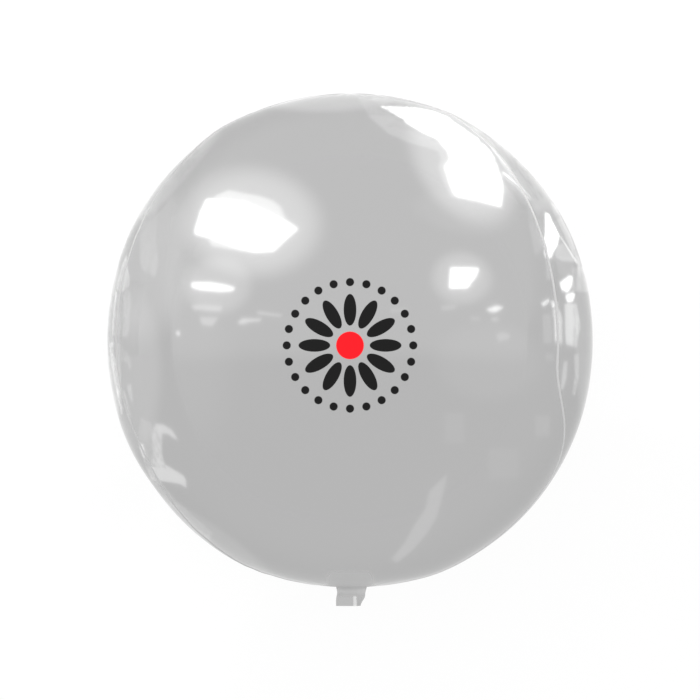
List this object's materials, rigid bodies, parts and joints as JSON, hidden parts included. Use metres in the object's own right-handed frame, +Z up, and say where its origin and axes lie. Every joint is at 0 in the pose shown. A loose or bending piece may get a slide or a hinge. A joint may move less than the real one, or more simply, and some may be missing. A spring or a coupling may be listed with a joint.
{
  "type": "orb foil balloon",
  "caption": "Round inflated film balloon with gently bulging panels, fine welded seams and a short flat filling tail, lying on a small flat on its back.",
  "frame": {"origin": "on the surface the balloon lies on, under the middle of its bounding box", "axes": "+Z up, through the front panel; +Y from the filling tail to the crown, the longest extent; +X to the right as seen from above with the crown away from the viewer"},
  "size_m": [0.3796, 0.4004, 0.3776],
  "materials": {
    "pearl_film": "glossy pearl-grey metallised film, with a plain black and red print in the middle of its front"
  },
  "bodies": {
    "root": {"envelope": "pearl_film"}
  },
  "joints": []
}
